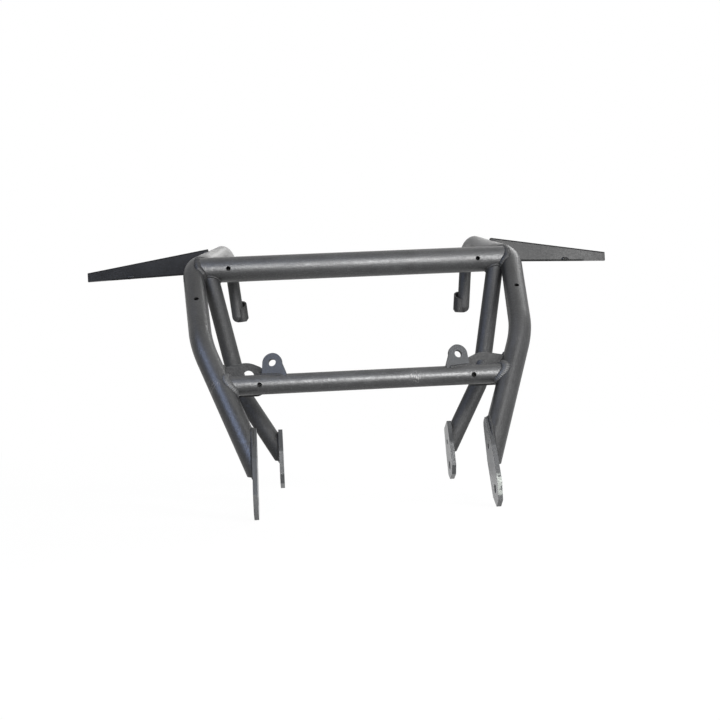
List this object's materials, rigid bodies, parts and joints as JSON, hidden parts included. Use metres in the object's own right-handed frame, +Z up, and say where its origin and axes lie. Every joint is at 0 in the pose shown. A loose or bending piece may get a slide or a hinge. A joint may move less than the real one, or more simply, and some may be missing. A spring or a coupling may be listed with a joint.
{
  "type": "atv front bumper",
  "caption": "Tubular steel front bumper for a quad bike: bent side hoops joined by cross tubes, rear braces, bolt-on mount plates, lamp tabs and tapered side wings.",
  "frame": {"origin": "on the common axis of the two front bolt holes, midway between the two sides", "axes": "+X across the vehicle towards the right-hand side as the picture shows it, +Y back towards the vehicle, +Z up"},
  "size_m": [0.82, 0.3936, 0.3859],
  "materials": {
    "tube_coat": "satin",
    "plate_coat": "satin",
    "wing_coat": "satin"
  },
  "bodies": {
    "root": {"right_hoop_tube": "tube_coat", "left_hoop_tube": "tube_coat", "upper_cross_tube": "tube_coat", "lower_cross_tube": "tube_coat", "right_rear_brace": "tube_coat", "left_rear_brace": "tube_coat", "right_front_mount_plate": "plate_coat", "left_front_mount_plate": "plate_coat", "right_rear_mount_plate": "plate_coat", "left_rear_mount_plate": "plate_coat", "right_lamp_tab": "plate_coat", "left_lamp_tab": "plate_coat", "right_gusset_plate": "plate_coat", "left_gusset_plate": "plate_coat", "right_leg_socket": "plate_coat", "left_leg_socket": "plate_coat", "right_wing": "wing_coat", "left_wing": "wing_coat"}
  },
  "joints": []
}
